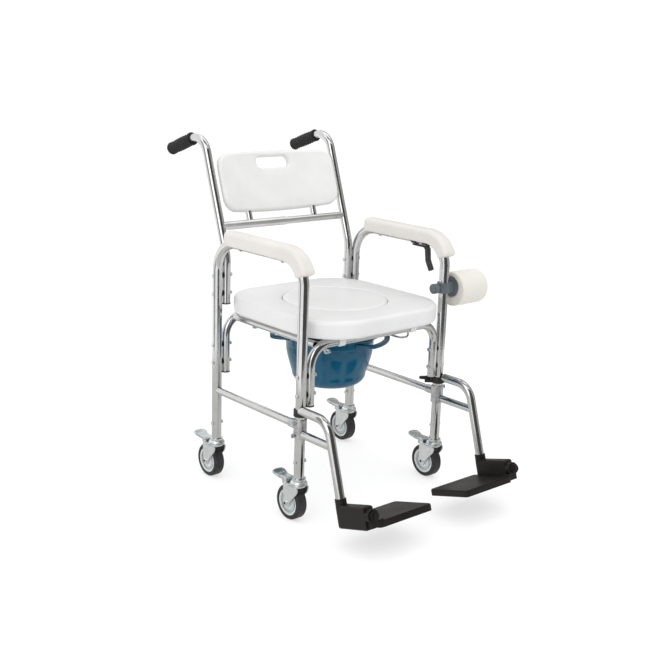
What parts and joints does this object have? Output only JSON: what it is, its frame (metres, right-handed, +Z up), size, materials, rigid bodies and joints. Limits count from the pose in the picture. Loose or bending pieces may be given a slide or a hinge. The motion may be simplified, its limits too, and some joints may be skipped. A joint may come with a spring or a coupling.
{
  "type": "commode chair",
  "caption": "Wheeled commode chair: bent tube frame, padded seat with lift-out lid, sliding pan, swing-away footrests, braked swivel casters, roll holder.",
  "frame": {"origin": "middle of the bounding box at floor level", "axes": "+Z up, the front of the chair faces -Y, the sitter's left hand is on +X"},
  "size_m": [0.6331, 0.8868, 0.8973],
  "materials": {
    "tube_aluminium": "polished and anodised",
    "cast_aluminium": "satin cast",
    "steel_hardware": "zinc plated",
    "black_plastic": "fine grained",
    "grip_rubber": "moulded ribs",
    "strap_webbing": "woven webbing",
    "white_plastic": "blow moulded satin",
    "seat_skin": "moulded foam skin",
    "lid_skin": "moulded foam skin",
    "pad_cream": "moulded foam skin",
    "pan_blue": "semi gloss",
    "zinc_steel": "zinc plated pressed steel",
    "pedal_steel": "zinc plated pressed steel",
    "hub_plastic": "moulded",
    "tyre_rubber": "grey rubber",
    "grey_plastic": "moulded",
    "roll_paper": "soft tissue"
  },
  "bodies": {
    "frame": {"side_frame_right": "tube_aluminium", "side_frame_left": "tube_aluminium", "lower_rails": "tube_aluminium", "rail_sleeves": "cast_aluminium", "sleeve_screws": "steel_hardware", "seat_frame_front": "tube_aluminium", "seat_frame_rear": "tube_aluminium", "seat_rails": "tube_aluminium", "bucket_rails": "steel_hardware", "seat_clips": "white_plastic", "frame_bolts": "steel_hardware", "frame_spacers": "black_plastic", "tube_caps": "black_plastic", "back_cane_right": "tube_aluminium", "back_cane_left": "tube_aluminium", "grip_right": "grip_rubber", "grip_left": "grip_rubber", "cross_bar_outer": "tube_aluminium", "cross_bar_inner": "tube_aluminium", "back_stubs": "tube_aluminium", "backrest": "white_plastic", "arm_pad_right": "pad_cream", "arm_pad_left": "pad_cream", "arm_pad_screws": "steel_hardware", "seat": "seat_skin", "caster_stems": "steel_hardware", "roll_clamp": "grey_plastic", "roll_spindle": "grey_plastic", "arm_strap": "strap_webbing"},
    "lid": {"seat_lid": "lid_skin"},
    "pan": {"bucket": "pan_blue"},
    "caster_front_right": {"fork_front_right": "zinc_steel"},
    "wheel_front_right": {"hub_front_right": "hub_plastic", "tyre_front_right": "tyre_rubber"},
    "brake_front_right": {"pedal_front_right": "pedal_steel"},
    "caster_front_left": {"fork_front_left": "zinc_steel"},
    "wheel_front_left": {"hub_front_left": "hub_plastic", "tyre_front_left": "tyre_rubber"},
    "brake_front_left": {"pedal_front_left": "pedal_steel"},
    "caster_rear_right": {"fork_rear_right": "zinc_steel"},
    "wheel_rear_right": {"hub_rear_right": "hub_plastic", "tyre_rear_right": "tyre_rubber"},
    "brake_rear_right": {"pedal_rear_right": "pedal_steel"},
    "caster_rear_left": {"fork_rear_left": "zinc_steel"},
    "wheel_rear_left": {"hub_rear_left": "hub_plastic", "tyre_rear_left": "tyre_rubber"},
    "brake_rear_left": {"pedal_rear_left": "pedal_steel"},
    "footrest_right": {"hanger_right": "tube_aluminium", "hanger_clamps_right": "cast_aluminium", "hinge_block_right": "black_plastic", "hinge_pin_right": "black_plastic"},
    "catch_right": {"latch_right": "black_plastic"},
    "plate_right": {"foot_plate_right": "black_plastic"},
    "footrest_left": {"hanger_left": "tube_aluminium", "hanger_clamps_left": "cast_aluminium", "hinge_block_left": "black_plastic", "hinge_pin_left": "black_plastic"},
    "catch_left": {"latch_left": "black_plastic"},
    "plate_left": {"foot_plate_left": "black_plastic"},
    "roll": {"paper_roll": "roll_paper"}
  },
  "joints": [
    {"name": "lid_lift", "type": "slide", "parent": "frame", "child": "lid", "axis": [0, 0, 1], "range_m": [0, 0.12]},
    {"name": "pan_slide", "type": "slide", "parent": "frame", "child": "pan", "axis": [0, 1, 0], "range_m": [0, 0.3]},
    {"name": "swivel_front_right", "type": "hinge", "parent": "frame", "child": "caster_front_right", "pos_m": [-0.2874, -0.1605, 0.1], "axis": [0, 0, 1], "continuous": true},
    {"name": "roll_front_right", "type": "hinge", "parent": "caster_front_right", "child": "wheel_front_right", "pos_m": [-0.2874, -0.1355, 0.044], "axis": [1, 0, 0], "continuous": true},
    {"name": "brake_front_right", "type": "hinge", "parent": "caster_front_right", "child": "brake_front_right", "pos_m": [-0.2874, -0.1315, 0.102], "axis": [-1, 0, 0], "range_deg": [0, 8]},
    {"name": "swivel_front_left", "type": "hinge", "parent": "frame", "child": "caster_front_left", "pos_m": [0.1826, -0.1605, 0.1], "axis": [0, 0, 1], "continuous": true},
    {"name": "roll_front_left", "type": "hinge", "parent": "caster_front_left", "child": "wheel_front_left", "pos_m": [0.1826, -0.1355, 0.044], "axis": [1, 0, 0], "continuous": true},
    {"name": "brake_front_left", "type": "hinge", "parent": "caster_front_left", "child": "brake_front_left", "pos_m": [0.1826, -0.1315, 0.102], "axis": [-1, 0, 0], "range_deg": [0, 8]},
    {"name": "swivel_rear_right", "type": "hinge", "parent": "frame", "child": "caster_rear_right", "pos_m": [-0.2874, 0.1855, 0.1], "axis": [0, 0, 1], "continuous": true},
    {"name": "roll_rear_right", "type": "hinge", "parent": "caster_rear_right", "child": "wheel_rear_right", "pos_m": [-0.2874, 0.2105, 0.044], "axis": [1, 0, 0], "continuous": true},
    {"name": "brake_rear_right", "type": "hinge", "parent": "caster_rear_right", "child": "brake_rear_right", "pos_m": [-0.2874, 0.2145, 0.102], "axis": [-1, 0, 0], "range_deg": [0, 8]},
    {"name": "swivel_rear_left", "type": "hinge", "parent": "frame", "child": "caster_rear_left", "pos_m": [0.1826, 0.1855, 0.1], "axis": [0, 0, 1], "continuous": true},
    {"name": "roll_rear_left", "type": "hinge", "parent": "caster_rear_left", "child": "wheel_rear_left", "pos_m": [0.1826, 0.2105, 0.044], "axis": [1, 0, 0], "continuous": true},
    {"name": "brake_rear_left", "type": "hinge", "parent": "caster_rear_left", "child": "brake_rear_left", "pos_m": [0.1826, 0.2145, 0.102], "axis": [-1, 0, 0], "range_deg": [0, 8]},
    {"name": "swing_right", "type": "hinge", "parent": "frame", "child": "footrest_right", "pos_m": [-0.2874, -0.1605, 0.25], "axis": [0, 0, -1], "range_deg": [0, 90]},
    {"name": "catch_right", "type": "hinge", "parent": "footrest_right", "child": "catch_right", "pos_m": [-0.26831, -0.14141, 0.275], "axis": [0, 0, 1], "range_deg": [0, 15], "stiffness_Nm_per_rad": 0.2},
    {"name": "flip_right", "type": "hinge", "parent": "footrest_right", "child": "plate_right", "pos_m": [-0.2924, -0.32896, 0.08129], "axis": [0, -0.9563, 0.2924], "range_deg": [0, 90]},
    {"name": "swing_left", "type": "hinge", "parent": "frame", "child": "footrest_left", "pos_m": [0.1826, -0.1605, 0.25], "axis": [0, 0, 1], "range_deg": [0, 90]},
    {"name": "catch_left", "type": "hinge", "parent": "footrest_left", "child": "catch_left", "pos_m": [0.16351, -0.14141, 0.275], "axis": [0, 0, -1], "range_deg": [0, 15], "stiffness_Nm_per_rad": 0.2},
    {"name": "flip_left", "type": "hinge", "parent": "footrest_left", "child": "plate_left", "pos_m": [0.1876, -0.32896, 0.08129], "axis": [0, 0.9563, -0.2924], "range_deg": [0, 90]},
    {"name": "roll_spin", "type": "hinge", "parent": "frame", "child": "roll", "pos_m": [0.2606, -0.1605, 0.52065], "axis": [1, 0, 0], "continuous": true}
  ]
}
